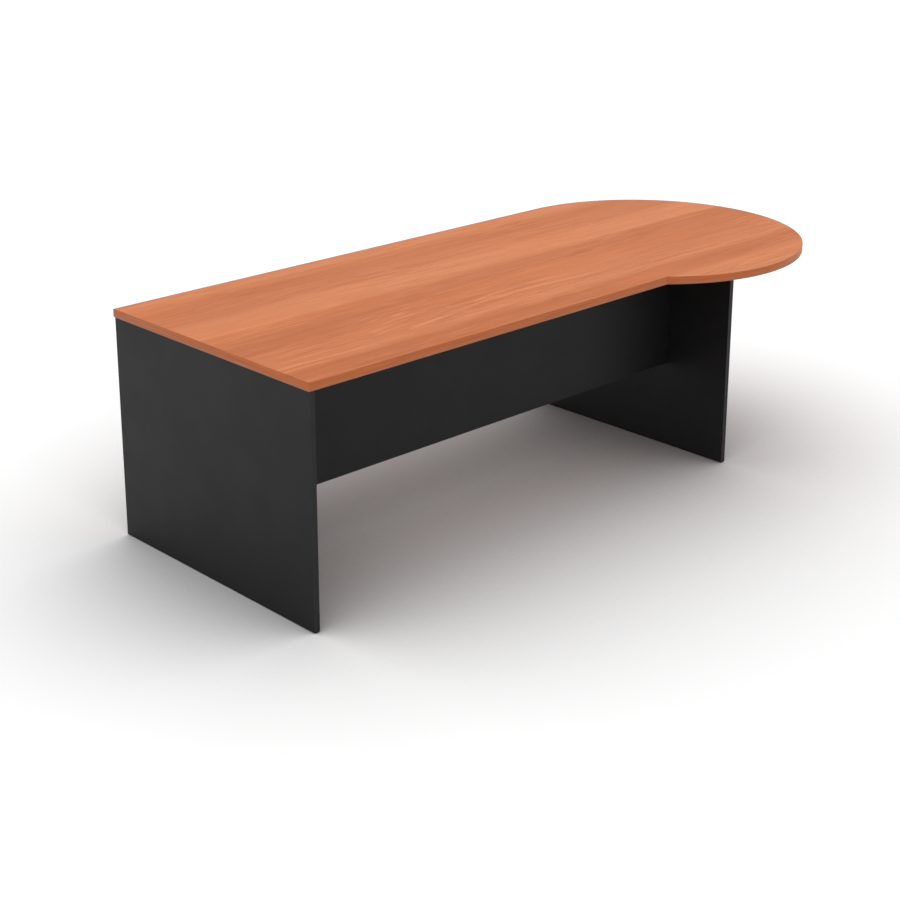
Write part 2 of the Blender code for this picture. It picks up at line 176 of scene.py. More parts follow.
# %% Light the sky
sky = bpy.data.worlds.new("studio_sky")
bpy.context.scene.world = sky
sky.use_nodes = True
sky.node_tree.nodes.clear()
white = add_node(sky.node_tree, "ShaderNodeBackground", {"Color": (1, 1, 1, 1), "Strength": 1})
add_node(sky.node_tree, "ShaderNodeOutputWorld", {"Surface": white.outputs[0]})
bpy.context.scene.view_settings.view_transform = "Standard"
print("sky strength", white.inputs["Strength"].default_value)

# %% [markdown]
# ## Shared effects
#
# Several finishes need the same effects: the figure of wood, the fine press of a moulded or
# laminated face, marks from handling, and the rub along an edge. Each is a node group, made once,
# with named inputs, so every finish can use it at its own scale. A group puts out only values that
# change over the surface. The shader stays in the material.

# %% Make the group helpers
def start_group(name, takes, gives):
    group = bpy.data.node_groups.new(name, "ShaderNodeTree")
    for title, start in takes.items():
        kind = "NodeSocketVector" if start is None else "NodeSocketFloat"
        socket = group.interface.new_socket(title, in_out="INPUT", socket_type=kind)
        if start is not None:
            socket.default_value = start
    for title in gives:
        group.interface.new_socket(title, in_out="OUTPUT", socket_type="NodeSocketFloat")
    given = group.nodes.new("NodeGroupInput").outputs
    told = group.nodes.new("NodeGroupOutput").inputs
    return group, given, told


def use_group(tree, group, inputs):
    return add_node(tree, "ShaderNodeGroup", inputs, node_tree=group).outputs


print("helpers for groups are ready")

# %% [markdown]
# Nearly every mark starts as a noise: a value that drifts at random over the surface, but is the
# same each time. One helper adds a plain noise and one a stretched one. Another spreads a part of
# a value's range over a new range, which turns soft noise into patches or lines, and the last
# keeps a mark within a stretch of the board.

# %% Make the noise helpers
noise_span = (0.3, 0.7)  # most of what a noise gives lies between these


def noise(tree, place, scale=1.0, detail=2.0, roughness=0.5):
    return add_node(tree, "ShaderNodeTexNoise", {"Vector": place, "Scale": scale, "Detail": detail,
                                                 "Roughness": roughness}).outputs[0]


def spread(tree, value, low, high, to_low=0.0, to_high=1.0, kind="SMOOTHSTEP"):
    return add_node(tree, "ShaderNodeMapRange", {0: value, 1: low, 2: high, 3: to_low, 4: to_high},
                    interpolation_type=kind).outputs[0]


def long_noise(tree, place, scales, **settings):
    """Noise with one scale along the grain and another across it, which makes long thin marks."""
    along, across, depth = place
    scaled = add_node(tree, "ShaderNodeCombineXYZ", {0: work_out(tree, "MULTIPLY", along, scales[0]),
                                                     1: work_out(tree, "MULTIPLY", across, scales[1]),
                                                     2: depth}).outputs[0]
    return noise(tree, scaled, **settings)


def within(tree, value, low, high, soft):
    """1 between low and high, fading to 0 over the soft distance inside each end."""
    return work_out(tree, "MULTIPLY", spread(tree, value, low, low + soft),
                    spread(tree, value, high, high - soft))


print("helpers for noise are ready")

# %% [markdown]
# Wood is made of fibres that run along the tree, so every mark in it is long and thin. The
# figure group takes a place as (along the grain, across it, depth). First it bends the across
# value a little, by a slow noise and a quick one, which makes straight bands wander as real ones do.

# %% Bend the grain
wood_figure, given, told = start_group(
    "wood_figure",
    {"Place": None, "Drift": 0.01, "Ring Gap": 0.012, "Streak Width": 0.006, "Fibre Width": 0.0008},
    ["Across", "Rings", "Streaks", "Fibres", "Pores"])
along, across, depth = add_node(wood_figure, "ShaderNodeSeparateXYZ", {0: given["Place"]}).outputs
slow = long_noise(wood_figure, (along, across, depth), (1.1, 3.5))
quick = long_noise(wood_figure, (along, across, depth), (5.0, 16.0))
bend = work_out(wood_figure, "ADD", work_out(wood_figure, "SUBTRACT", slow, 0.5),
                work_out(wood_figure, "MULTIPLY", work_out(wood_figure, "SUBTRACT", quick, 0.5), 0.3))
bent = work_out(wood_figure, "MULTIPLY_ADD", bend, given["Drift"], across)
wood_figure.links.new(bent, told["Across"])
print("the bend of the grain takes", len(wood_figure.nodes), "nodes")

# %% [markdown]
# Then it lays rings, streaks, fibres and open pores along the same bent lines, so that they all
# keep together. Rings are even lines, a wave drawn in to a sharp crest, and noise lets them come
# and go. The other marks are noises, each stretched to its own width.

# %% Lay the marks of the wood
streak_lines = work_out(wood_figure, "DIVIDE", bent, given["Streak Width"])
fibre_lines = work_out(wood_figure, "DIVIDE", bent, given["Fibre Width"])
ring_lines = work_out(wood_figure, "DIVIDE", bent, given["Ring Gap"])
wave = work_out(wood_figure, "SINE", work_out(wood_figure, "MULTIPLY", ring_lines, math.tau))
crests = work_out(wood_figure, "POWER", work_out(wood_figure, "MULTIPLY_ADD", wave, 0.5, 0.5), 3.0)
patchy = long_noise(wood_figure, (along, bent, depth), (2.2, 26.0))
rings = work_out(wood_figure, "MULTIPLY", crests, spread(wood_figure, patchy, 0.45, 0.65))
streaks = long_noise(wood_figure, (along, streak_lines, depth), (4.5, 0.5), detail=4.0, roughness=0.7)
fibres = long_noise(wood_figure, (along, fibre_lines, depth), (16.0, 0.5))
pores = long_noise(wood_figure, (along, fibre_lines, depth), (60.0, 1.0), detail=1.0)
wood_figure.links.new(rings, told["Rings"])
wood_figure.links.new(spread(wood_figure, streaks, *noise_span, kind="LINEAR"), told["Streaks"])
wood_figure.links.new(spread(wood_figure, fibres, *noise_span, kind="LINEAR"), told["Fibres"])
wood_figure.links.new(spread(wood_figure, pores, 0.62, 0.72), told["Pores"])
print("wood figure has", len(wood_figure.nodes), "nodes")

# %% [markdown]
# A laminate or a moulding takes its surface from the plate or tool that pressed it: a fine, even
# orange peel. One size of noise gives the peel, and a broader one makes it come and go.

# %% Build the pressed surface
pressed_surface, given, told = start_group(
    "pressed_surface", {"Place": None, "Peel Size": 0.0006}, ["Peel", "Mottle"])
fineness = work_out(pressed_surface, "DIVIDE", 1.0, given["Peel Size"])
peel = noise(pressed_surface, given["Place"], fineness, detail=1.5)
breadth = noise(pressed_surface, given["Place"], work_out(pressed_surface, "MULTIPLY", fineness, 0.02),
                detail=3.0, roughness=0.6)
pressed_surface.links.new(spread(pressed_surface, peel, *noise_span), told["Peel"])
pressed_surface.links.new(spread(pressed_surface, breadth, *noise_span, kind="LINEAR"), told["Mottle"])
print("pressed surface has", len(pressed_surface.nodes), "nodes")

# %% [markdown]
# A desk in use is wiped and leant on. That leaves no colour, only patches that shine a little more
# or less, and a few hair scratches. A scratch is where a very stretched noise passes its middle.

# %% Build the handling marks
handling, given, told = start_group("handling", {"Place": None, "Patch Size": 0.12}, ["Wipe", "Scratches"])
wipe = noise(handling, given["Place"], work_out(handling, "DIVIDE", 1.0, given["Patch Size"]), detail=3.0)
turned_place = add_node(handling, "ShaderNodeMapping", {
    "Vector": given["Place"], "Rotation": (0.2, 0.3, 0.45), "Scale": (6.0, 90.0, 90.0)}).outputs[0]
hair = noise(handling, turned_place, 1.0, detail=0.0)
line = work_out(handling, "ABSOLUTE", work_out(handling, "SUBTRACT", hair, 0.5))
here_only = spread(handling, noise(handling, given["Place"], 9.0, detail=1.0), 0.55, 0.7)
handling.links.new(spread(handling, wipe, *noise_span), told["Wipe"])
handling.links.new(work_out(handling, "MULTIPLY", spread(handling, line, 0.004, 0.0), here_only),
                   told["Scratches"])
print("handling marks have", len(handling.nodes), "nodes")

# %% [markdown]
# The rounded arris of an edge band is the part that sleeves and vacuum cleaners rub. The mesh
# carries a number called arris, 1 on the rounding and 0 on the flats, and noise breaks it up.

# %% Build the rubbed edge
rubbed_edge, given, told = start_group("rubbed_edge", {"Place": None, "Patch Size": 0.03}, ["Rub"])
arris_of_mesh = add_node(rubbed_edge, "ShaderNodeAttribute", attribute_name="arris").outputs["Fac"]
patch_scale = work_out(rubbed_edge, "DIVIDE", 1.0, given["Patch Size"])
worn = spread(rubbed_edge, noise(rubbed_edge, given["Place"], patch_scale, detail=4.0), 0.35, 0.65)
rubbed_edge.links.new(work_out(rubbed_edge, "MULTIPLY", arris_of_mesh, worn), told["Rub"])
print("rubbed edge has", len(rubbed_edge.nodes), "nodes")

# %% [markdown]
# ## Cherry board
#
# The top is a cherry-printed laminate. Its figure is broad bands along the desk, some with a thin
# pale line at their edge, because the veneer it copies was cut through growth rings. So the bands
# are laid out as tones against the distance across the board, and the group bends them.
# Two woods, a dark and a pale, are then mixed by that tone. A thin line is told by its place
# across, half its width, how much it lightens or darkens, where it starts and ends along the desk,
# and its bow.

# %% Lay out the bands of the top
bands_across = [(-0.52, 0.70), (-0.40, 0.70), (-0.37, 0.20), (-0.30, 0.10), (-0.27, 0.50), (-0.24, 0.60),
                (-0.19, 0.45), (-0.16, 0.50), (-0.12, 0.35), (-0.06, 0.20), (0.07, 0.25), (0.10, 0.65),
                (0.12, 0.80), (0.21, 0.80), (0.26, 0.35), (0.30, 0.45), (0.40, 0.25), (0.47, 0.75),
                (0.52, 0.70)]
thin_lines = [(0.097, 0.011, 0.56, -1.30, -0.60, 0.0), (0.101, 0.012, 0.58, 0.36, 1.30, 0.0),
              (0.055, 0.009, 0.24, -1.30, -0.70, 0.0), (0.057, 0.010, 0.20, 0.45, 1.30, 0.0),
              (-0.210, 0.008, 0.20, -1.30, -0.75, 0.0), (-0.250, 0.010, 0.44, -1.30, -0.66, 0.0),
              (-0.274, 0.008, 0.40, -1.30, -0.76, 0.0), (-0.298, 0.014, -0.34, -1.30, -0.72, 0.0),
              (-0.251, 0.013, 0.22, 0.15, 1.30, 0.0), (-0.133, 0.012, 0.50, -0.38, 0.16, 0.42),
              (-0.172, 0.012, 0.50, -0.66, 0.22, 0.16), (-0.192, 0.010, -0.10, -0.62, 0.16, 0.16)]


def tone_ramp(tree, value, stops):
    ramp = add_node(tree, "ShaderNodeValToRGB", {0: value})
    elements = ramp.color_ramp.elements
    while len(elements) < len(stops):
        elements.new(0.5)
    for element, (place, tone) in zip(elements, stops):
        element.position = place
        element.color = (tone, tone, tone, 1)
    return ramp.outputs[0]


print(len(bands_across), "tones and", len(thin_lines), "thin lines across",
      round(bands_across[-1][0] - bands_across[0][0], 2), "m")

# %% [markdown]
# The finish starts with the tone. The bands give most of it, and the thin lines are added one by
# one. Three of them bow round a place near the desk's middle, where the cut just grazed a ring.
# A noise lets each line shimmer, so that none looks ruled.

# %% Lay the bands and the thin lines
bow_middle = -0.11  # along the desk
line_fade = 0.12  # over which a line comes and goes

cherry_board, tree = start_material("cherry_board")
place = add_node(tree, "ShaderNodeTexCoord").outputs["Object"]
figure = use_group(tree, wood_figure, {"Place": place, "Drift": 0.030, "Streak Width": 0.006,
                                       "Ring Gap": 0.0085, "Fibre Width": 0.0012})
along, across = add_node(tree, "ShaderNodeSeparateXYZ", {0: place}).outputs[0], figure["Across"]
narrowest, widest = bands_across[0][0], bands_across[-1][0]
tone = tone_ramp(tree, spread(tree, across, narrowest, widest, kind="LINEAR"),
                 [((y - narrowest) / (widest - narrowest), t) for y, t in bands_across])

from_bow = work_out(tree, "SUBTRACT", along, bow_middle)
bow_square = work_out(tree, "MULTIPLY", from_bow, from_bow)
flicker = long_noise(tree, (along, across, 5.0), (7.0, 60.0), detail=3.0)
shimmer = spread(tree, flicker, 0.34, 0.62, 0.35, 1.25)
for middle, half, share, start, end, bow in thin_lines:
    bowed = work_out(tree, "MULTIPLY_ADD", bow_square, bow, across)
    from_line = work_out(tree, "ABSOLUTE", work_out(tree, "SUBTRACT", bowed, middle))
    line = work_out(tree, "MULTIPLY", spread(tree, from_line, half, 0.0),
                    within(tree, along, start, end, line_fade))
    tone = work_out(tree, "MULTIPLY_ADD", work_out(tree, "MULTIPLY", line, shimmer), share, tone)
print("tone of the bands takes", len(tree.nodes), "nodes")

# %% [markdown]
# Two patches near the left end have short slanted ripples, as where a tool met the fibres at an
# angle. Streaks and fibres then follow the bands, livelier in some places than in others, and the
# board darkens a little towards its left end.

# %% Add ripples, streaks and rings
ripple_patches = ((-0.82, -0.48, -0.24, -0.04), (-1.30, -0.78, 0.00, 0.10))
slant = -0.10

slanted = work_out(tree, "MULTIPLY_ADD", along, slant, across)
ripples = spread(tree, long_noise(tree, (along, slanted, 0.0), (9.0, 95.0), detail=1.0), 0.5, 0.68)
for first, last, low, high in ripple_patches:
    here = work_out(tree, "MULTIPLY", within(tree, along, first, last, 0.10),
                    within(tree, across, low, high, 0.03))
    tone = work_out(tree, "MULTIPLY_ADD", work_out(tree, "MULTIPLY", ripples, here), 0.50, tone)

lively = spread(tree, long_noise(tree, (along, across, 2.0), (1.6, 5.0)), 0.40, 0.60, 0.45, 1.30)
lines = work_out(tree, "MULTIPLY_ADD", figure["Streaks"], 0.66,
                 work_out(tree, "MULTIPLY_ADD", figure["Fibres"], 0.34, -0.50))
tone = work_out(tree, "MULTIPLY_ADD", lines, lively, tone)
tone = work_out(tree, "MULTIPLY_ADD", figure["Rings"], 0.22, tone)
tone = work_out(tree, "ADD", tone, spread(tree, along, -0.90, -0.20, -0.10, -0.01), clamp=True)
print("tone with its grain takes", len(tree.nodes), "nodes")

# %% [markdown]
# The tone mixes the two woods, a slow noise lays a warmer third over some of it, and the pores are
# stained dark. A printed laminate is satin, so it gets a low gloss, and its pores are pressed in
# only a few hundredths of a millimetre.

# %% Colour the cherry board
dark_wood = (0.535, 0.159, 0.058, 1)
pale_wood = (0.742, 0.272, 0.123, 1)
orange_wood = (0.742, 0.243, 0.094, 1)
pore_stain = (0.30, 0.08, 0.03, 1)
colour = mix_colours(tree, tone, dark_wood, pale_wood)
patches = spread(tree, long_noise(tree, (along, across, 0.0), (0.9, 6.0)), 0.45, 0.66, 0.0, 0.35)
colour = mix_colours(tree, patches, colour, orange_wood)
colour = mix_colours(tree, work_out(tree, "MULTIPLY", figure["Pores"], 0.30), colour, pore_stain)

skin = use_group(tree, pressed_surface, {"Place": place, "Peel Size": 0.0009})
marks = use_group(tree, handling, {"Place": place, "Patch Size": 0.16})
roughness = work_out(tree, "MULTIPLY_ADD", marks["Wipe"], -0.06, 0.64)
roughness = work_out(tree, "MULTIPLY_ADD", figure["Fibres"], 0.04, roughness)
height = work_out(tree, "MULTIPLY_ADD", figure["Pores"], -0.8, work_out(tree, "MULTIPLY", skin["Peel"], 0.25))
height = work_out(tree, "MULTIPLY_ADD", marks["Scratches"], -0.4, height)
relief = add_node(tree, "ShaderNodeBump", {"Height": height, "Strength": 0.5, "Distance": 0.00006})
board = add_node(tree, "ShaderNodeBsdfPrincipled", {
    "Base Color": colour, "Roughness": roughness, "Normal": relief.outputs[0], "Specular IOR Level": 0.08})
add_node(tree, "ShaderNodeOutputMaterial", {"Surface": board.outputs[0]})
print("cherry board has", len(tree.nodes), "nodes")

# %% [markdown]
# ## Cherry edging
#
# The band round the top is a 2 mm strip of cherry-coloured plastic. Its print runs along the
# strip, so on the round end the grain has to follow the curve. The mesh carries the distance along
# the strip as a number called run, and the finish uses that in place of X. The print is redder
# in its upper half and browner in its lower.

# %% Mix the cherry edging
cherry_edge, tree = start_material("cherry_edge")
place = add_node(tree, "ShaderNodeTexCoord").outputs["Object"]
height_up = add_node(tree, "ShaderNodeSeparateXYZ", {0: place}).outputs[2]
run = add_node(tree, "ShaderNodeAttribute", attribute_name="run").outputs["Fac"]
run_place = add_node(tree, "ShaderNodeCombineXYZ", {0: run, 1: height_up, 2: 0.3}).outputs[0]
figure = use_group(tree, wood_figure, {"Place": run_place, "Drift": 0.006, "Streak Width": 0.004,
                                       "Fibre Width": 0.0008})
print_change = (0.699, 0.708)  # heights between which one print gives way to the other
red_print = (0.462, 0.122, 0.034, 1)
tan_print = (0.378, 0.143, 0.073, 1)
rubbed_print = (0.50, 0.18, 0.09, 1)
colour = mix_colours(tree, spread(tree, figure["Across"], *print_change), tan_print, red_print)
grain = work_out(tree, "MULTIPLY_ADD", figure["Streaks"], 0.30,
                 work_out(tree, "MULTIPLY_ADD", figure["Fibres"], 0.20, 0.72))
colour = mix_colours(tree, 1.0, colour, grain, "MULTIPLY")
rub = use_group(tree, rubbed_edge, {"Place": place, "Patch Size": 0.04})["Rub"]
colour = mix_colours(tree, work_out(tree, "MULTIPLY", rub, 0.35), colour, rubbed_print)
skin = use_group(tree, pressed_surface, {"Place": place, "Peel Size": 0.0012})
roughness = work_out(tree, "MULTIPLY_ADD", skin["Mottle"], 0.06, 0.44)
roughness = work_out(tree, "MULTIPLY_ADD", rub, -0.12, roughness)
height = work_out(tree, "MULTIPLY_ADD", figure["Fibres"], 0.5, skin["Peel"])
relief = add_node(tree, "ShaderNodeBump", {"Height": height, "Strength": 0.4, "Distance": 0.00006})
edging = add_node(tree, "ShaderNodeBsdfPrincipled", {
    "Base Color": colour, "Roughness": roughness, "Normal": relief.outputs[0], "Specular IOR Level": 0.2})
add_node(tree, "ShaderNodeOutputMaterial", {"Surface": edging.outputs[0]})
print("cherry edging has", len(tree.nodes), "nodes")

# %% [markdown]
# ## Charcoal board and edging
#
# The end panels and the modesty panel are charcoal laminate. It is nearly black, and most of what
# the eye sees on it is the pale floor in its dull gloss. So the colour is very dark, the gloss is
# weaker than that of bare plastic, and the press plate's roughness blurs what is mirrored.

# %% Mix the charcoal finishes
rubbed_charcoal = (0.045, 0.045, 0.046, 1)
charcoal_gloss = 0.212  # 0.5 is the gloss of bare plastic


def charcoal(name, shade, roughness, peel_size, depth):
    material, tree = start_material(name)
    place = add_node(tree, "ShaderNodeTexCoord").outputs["Object"]
    skin = use_group(tree, pressed_surface, {"Place": place, "Peel Size": peel_size})
    marks = use_group(tree, handling, {"Place": place, "Patch Size": 0.14})
    rub = use_group(tree, rubbed_edge, {"Place": place, "Patch Size": 0.03})["Rub"]
    pale = tuple(1.7 * s for s in shade[:3]) + (1,)
    colour = mix_colours(tree, work_out(tree, "MULTIPLY", skin["Mottle"], 0.6), shade, pale)
    colour = mix_colours(tree, work_out(tree, "MULTIPLY", rub, 0.5), colour, rubbed_charcoal)
    shine = work_out(tree, "MULTIPLY_ADD", marks["Wipe"], 0.05, roughness)
    shine = work_out(tree, "MULTIPLY_ADD", skin["Mottle"], 0.03, shine)
    shine = work_out(tree, "MULTIPLY_ADD", marks["Scratches"], 0.05, shine)
    relief = add_node(tree, "ShaderNodeBump", {"Height": skin["Peel"], "Strength": 0.35, "Distance": depth})
    shader = add_node(tree, "ShaderNodeBsdfPrincipled", {
        "Base Color": colour, "Roughness": shine, "Normal": relief.outputs[0],
        "Specular IOR Level": charcoal_gloss})
    add_node(tree, "ShaderNodeOutputMaterial", {"Surface": shader.outputs[0]})
    print(name, "has", len(tree.nodes), "nodes")
    return material


charcoal_board = charcoal("charcoal_board", (0.0058, 0.0058, 0.0060, 1), roughness=0.48,
                          peel_size=0.0008, depth=0.00005)
charcoal_edge = charcoal("charcoal_edge", (0.0115, 0.0115, 0.0118, 1), roughness=0.50,
                         peel_size=0.0012, depth=0.00006)

# %% [markdown]
# ## Metals, plastic and dowels
#
# The fittings are bought-in parts. Bolts and foot stems are turned steel, zinc plated and fairly
# bright. Cams and inserts are cast zinc, grey and grainy. Both are metallic shaders whose colour,
# roughness and bump tell them apart.

# %% Mix the two metals
def metal(name, pale, dull, roughness, grain_size, depth):
    material, tree = start_material(name)
    place = add_node(tree, "ShaderNodeTexCoord").outputs["Object"]
    skin = use_group(tree, pressed_surface, {"Place": place, "Peel Size": grain_size})
    marks = use_group(tree, handling, {"Place": place, "Patch Size": 0.008})
    colour = mix_colours(tree, marks["Wipe"], pale, dull)
    shine = work_out(tree, "MULTIPLY_ADD", marks["Wipe"], 0.10, roughness)
    height = work_out(tree, "SUBTRACT", skin["Peel"], marks["Scratches"])
    relief = add_node(tree, "ShaderNodeBump", {"Height": height, "Strength": 0.5, "Distance": depth})
    shader = add_node(tree, "ShaderNodeBsdfPrincipled", {
        "Base Color": colour, "Metallic": 1.0, "Roughness": shine, "Normal": relief.outputs[0]})
    add_node(tree, "ShaderNodeOutputMaterial", {"Surface": shader.outputs[0]})
    print(name, "has", len(tree.nodes), "nodes")
    return material


bright_steel = metal("bright_steel", (0.60, 0.61, 0.62, 1), (0.50, 0.49, 0.44, 1), roughness=0.24,
                     grain_size=0.0002, depth=0.00001)
cast_zinc = metal("cast_zinc", (0.50, 0.50, 0.50, 1), (0.40, 0.40, 0.39, 1), roughness=0.45,
                  grain_size=0.0004, depth=0.00004)

# %% [markdown]
# Caps and foot bases are moulded nylon, matt from the spark-worn mould and polished where they
# rub. The plastic is one colour right through, so wear changes only its gloss and a little of its
# tone.

# %% Mix the plastic
black_plastic, tree = start_material("black_plastic")
place = add_node(tree, "ShaderNodeTexCoord").outputs["Object"]
skin = use_group(tree, pressed_surface, {"Place": place, "Peel Size": 0.00035})
rub = use_group(tree, rubbed_edge, {"Place": place, "Patch Size": 0.004})["Rub"]
dark_nylon = (0.014, 0.014, 0.0145, 1)
pale_nylon = (0.022, 0.022, 0.0225, 1)
rubbed_nylon = (0.05, 0.05, 0.05, 1)
colour = mix_colours(tree, skin["Mottle"], dark_nylon, pale_nylon)
colour = mix_colours(tree, work_out(tree, "MULTIPLY", rub, 0.4), colour, rubbed_nylon)
roughness = work_out(tree, "MULTIPLY_ADD", skin["Mottle"], 0.08, 0.46)
roughness = work_out(tree, "MULTIPLY_ADD", rub, -0.12, roughness)
relief = add_node(tree, "ShaderNodeBump", {"Height": skin["Peel"], "Strength": 0.6, "Distance": 0.00003})
nylon = add_node(tree, "ShaderNodeBsdfPrincipled", {"Base Color": colour, "Roughness": roughness,
                                                    "Normal": relief.outputs[0]})
add_node(tree, "ShaderNodeOutputMaterial", {"Surface": nylon.outputs[0]})
print("black plastic has", len(tree.nodes), "nodes")

# %% [markdown]
# The dowels are bare beech: pale pinkish wood with short dark flecks. The wood figure serves again,
# at a finer scale, with its pores as the flecks.

# %% Mix the beech
beech, tree = start_material("beech")
place = add_node(tree, "ShaderNodeTexCoord").outputs["Object"]
figure = use_group(tree, wood_figure, {"Place": place, "Drift": 0.002, "Streak Width": 0.0015,
                                       "Fibre Width": 0.0003})
dark_beech = (0.44, 0.27, 0.14, 1)
pale_beech = (0.60, 0.40, 0.24, 1)
flecks = (0.22, 0.11, 0.05, 1)
colour = mix_colours(tree, figure["Streaks"], dark_beech, pale_beech)
colour = mix_colours(tree, work_out(tree, "MULTIPLY", figure["Pores"], 0.6), colour, flecks)
relief = add_node(tree, "ShaderNodeBump", {
    "Height": figure["Fibres"], "Strength": 0.5, "Distance": 0.00005})
roughness = work_out(tree, "MULTIPLY_ADD", figure["Fibres"], 0.12, 0.62)
bare_wood = add_node(tree, "ShaderNodeBsdfPrincipled", {"Base Color": colour, "Roughness": roughness,
                                                        "Normal": relief.outputs[0]})
add_node(tree, "ShaderNodeOutputMaterial", {"Surface": bare_wood.outputs[0]})
print("beech has", len(tree.nodes), "nodes")

# %% [markdown]
# ## Dress the solids
#
# The record says which finish each solid has. Giving every solid its finish, including the bolts
# and dowels that no one sees until the desk is taken apart, is one loop.

# %% Give each solid its finish
finishes = {"cherry_board": cherry_board, "cherry_edge": cherry_edge, "charcoal_board": charcoal_board,
            "charcoal_edge": charcoal_edge, "bright_steel": bright_steel, "cast_zinc": cast_zinc,
            "black_plastic": black_plastic, "beech": beech}
for name, solid in frame["nodes"].items():
    for slot in solid.material_slots:
        slot.material = finishes[slots[name]]
print("dressed", {name: list(slots.values()).count(name) for name in finishes})

# %% [markdown]
# ## Pieces made again in finer mesh
#
# One helper makes a piece from its points and faces. It turns the faces to look outwards, keeps
# crisp edges crisp, writes the numbers that the finishes read, gives the piece the finish of the
# solid it stands for, hides that solid, and hangs the piece on the body it moves with.

# %% Make the piece helper
crisp_angle = math.radians(35)


def add_piece(name, points, faces, node, body="desk", **numbers):
    mesh = bpy.data.meshes.new(name)
    mesh.from_pydata(points, [], faces)
    shape = bmesh.new()
    shape.from_mesh(mesh)
    bmesh.ops.recalc_face_normals(shape, faces=shape.faces)
    shape.to_mesh(mesh)
    shape.free()
    mesh.shade_smooth()
    mesh.set_sharp_from_angle(angle=crisp_angle)
    for title, values in numbers.items():
        mesh.attributes.new(title, "FLOAT", "POINT").data.foreach_set("value", values)
    mesh.materials.append(finishes[slots[node]])
    piece = bpy.data.objects.new(name, mesh)
    bpy.context.collection.objects.link(piece)
    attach(piece, body)
    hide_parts(node)
    return piece


print("edges that turn by more than", round(math.degrees(crisp_angle)), "degrees stay crisp")

# %% [markdown]
# ## Edge bands of the top
#
# A band is one section drawn along the board's edge: a flat strip whose outer corners a trimmer
# has rounded. Each point of the section is told by how far it lies in from the outline, and the
# outline moved in by that much is its path, so corners and curves meet without gaps. An extra
# point on each side of a rounding keeps the flats looking flat.

# %% Draw the section of a band
top_band_depth = 0.0022  # the strip's 2 mm and most of the gap behind it
top_arris = 0.0010  # radius of the rounding
arris_steps = 4
flat_guard = 0.0004  # from a rounding to its extra point


def band_section(low, high, depth, arris):
    """Points (inset, height, arris number) round the section, from its inner foot."""
    quarter = [math.pi / 2 * step / arris_steps for step in range(arris_steps + 1)]
    foot = [(arris - arris * math.sin(a), low + arris - arris * math.cos(a), 1) for a in quarter]
    head = [(arris - arris * math.cos(a), high - arris + arris * math.sin(a), 1) for a in quarter]
    return ([(depth, low, 0), (arris + flat_guard, low, 0)] + foot
            + [(0, low + arris + flat_guard, 0), (0, high - arris - flat_guard, 0)]
            + head + [(arris + flat_guard, high, 0), (depth, high, 0)])


def drawn_band(name, section, path, node, start_run=0.0):
    """The section drawn along path(inset), a list of plan points for each inset."""
    rows = [path(inset) for inset, height, arris in section]
    stations, count = len(rows[0]), len(section)
    outline = path(0)
    runs = [start_run]
    for before, after in zip(outline, outline[1:]):
        runs.append(runs[-1] + math.dist(before, after))
    points = [(*rows[k][j], section[k][1]) for j in range(stations) for k in range(count)]
    faces = [(j * count + k, j * count + (k + 1) % count,
              (j + 1) * count + (k + 1) % count, (j + 1) * count + k)
             for j in range(stations - 1) for k in range(count)]
    faces += [tuple(range(count)), tuple(range((stations - 1) * count, stations * count))]
    return add_piece(name, points, faces, node, run=[run for run in runs for _ in section],
                     arris=[arris for _ in runs for inset, height, arris in section])


top_low, top_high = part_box("top_panel")
top_section = band_section(top_low.z, top_high.z, top_band_depth, top_arris)
print("section of", len(top_section), "points,", round(1000 * (top_high.z - top_low.z), 1), "mm high")

# %% [markdown]
# The left band lies across the whole end and hides the ends of the two others, as a joiner fits
# it, and its own ends are rounded. The near band runs to the inner corner. The last band starts
# there, goes round the meeting end and comes back along the user's side in one piece. Each has
# its own path, and all are measured from the solids.

# %% Trace the three edges of the top
left_band_low, left_band_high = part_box("top_left_edge_band")
left_end, near_edge, far_edge = left_band_low.x, left_band_low.y, left_band_high.y
round_radius = far_edge
round_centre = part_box("top_round_end_band")[1].x - round_radius
joint_gap = 0.0002  # between two bands
end_rounding = 0.0015  # radius of the left band's ends, in plan
end_steps = 4
round_steps = 176


def inner_corner(inset):
    """Where the straight near edge meets the round end, on the outline moved in by the inset."""
    return round_centre - math.sqrt((round_radius - inset) ** 2 - (near_edge + inset) ** 2)


def left_path(inset):
    reach = max(end_rounding, inset)
    radius = reach - inset
    path = [(left_end + top_band_depth, far_edge - inset)]
    for side, edge in ((1, far_edge), (-1, near_edge)):
        turns = [math.pi / 2 * step / end_steps for step in range(end_steps + 1)][::side]
        path += [(left_end + reach - radius * math.sin(a), edge - side * (reach - radius * math.cos(a)))
                 for a in turns]
    return path + [(left_end + top_band_depth, near_edge + inset)]


def near_path(inset):
    return [(left_end + top_band_depth + joint_gap, near_edge + inset),
            (inner_corner(inset) - joint_gap, near_edge + inset)]


def round_path(inset):
    radius = round_radius - inset
    start = math.atan2(near_edge + inset, inner_corner(inset) - round_centre) + joint_gap / radius
    start -= math.tau if start > 0 else 0
    angles = [start + (math.pi / 2 - start) * step / round_steps for step in range(round_steps + 1)]
    return ([(round_centre + radius * math.cos(a), radius * math.sin(a)) for a in angles]
            + [(left_end + top_band_depth + joint_gap, far_edge - inset)])


print("round end", round(2 * round_radius, 3), "m across, inner corner at x =", round(inner_corner(0), 3))

# %% [markdown]
# The three strips are cut from one printed roll. Each starts at its own place in the print, so
# that no two bands show the same stretch.

# %% Draw the three bands of the top
near_run, round_run = 1.0, 3.0  # where the print starts; the left band's starts at 0
drawn_band("top_left_banding", top_section, left_path, "top_left_edge_band")
drawn_band("top_near_banding", top_section, near_path, "top_near_edge_band", near_run)
round_band = drawn_band("top_round_banding", top_section, round_path, "top_round_end_band", round_run)
print("round band has", len(round_band.data.vertices), "points")

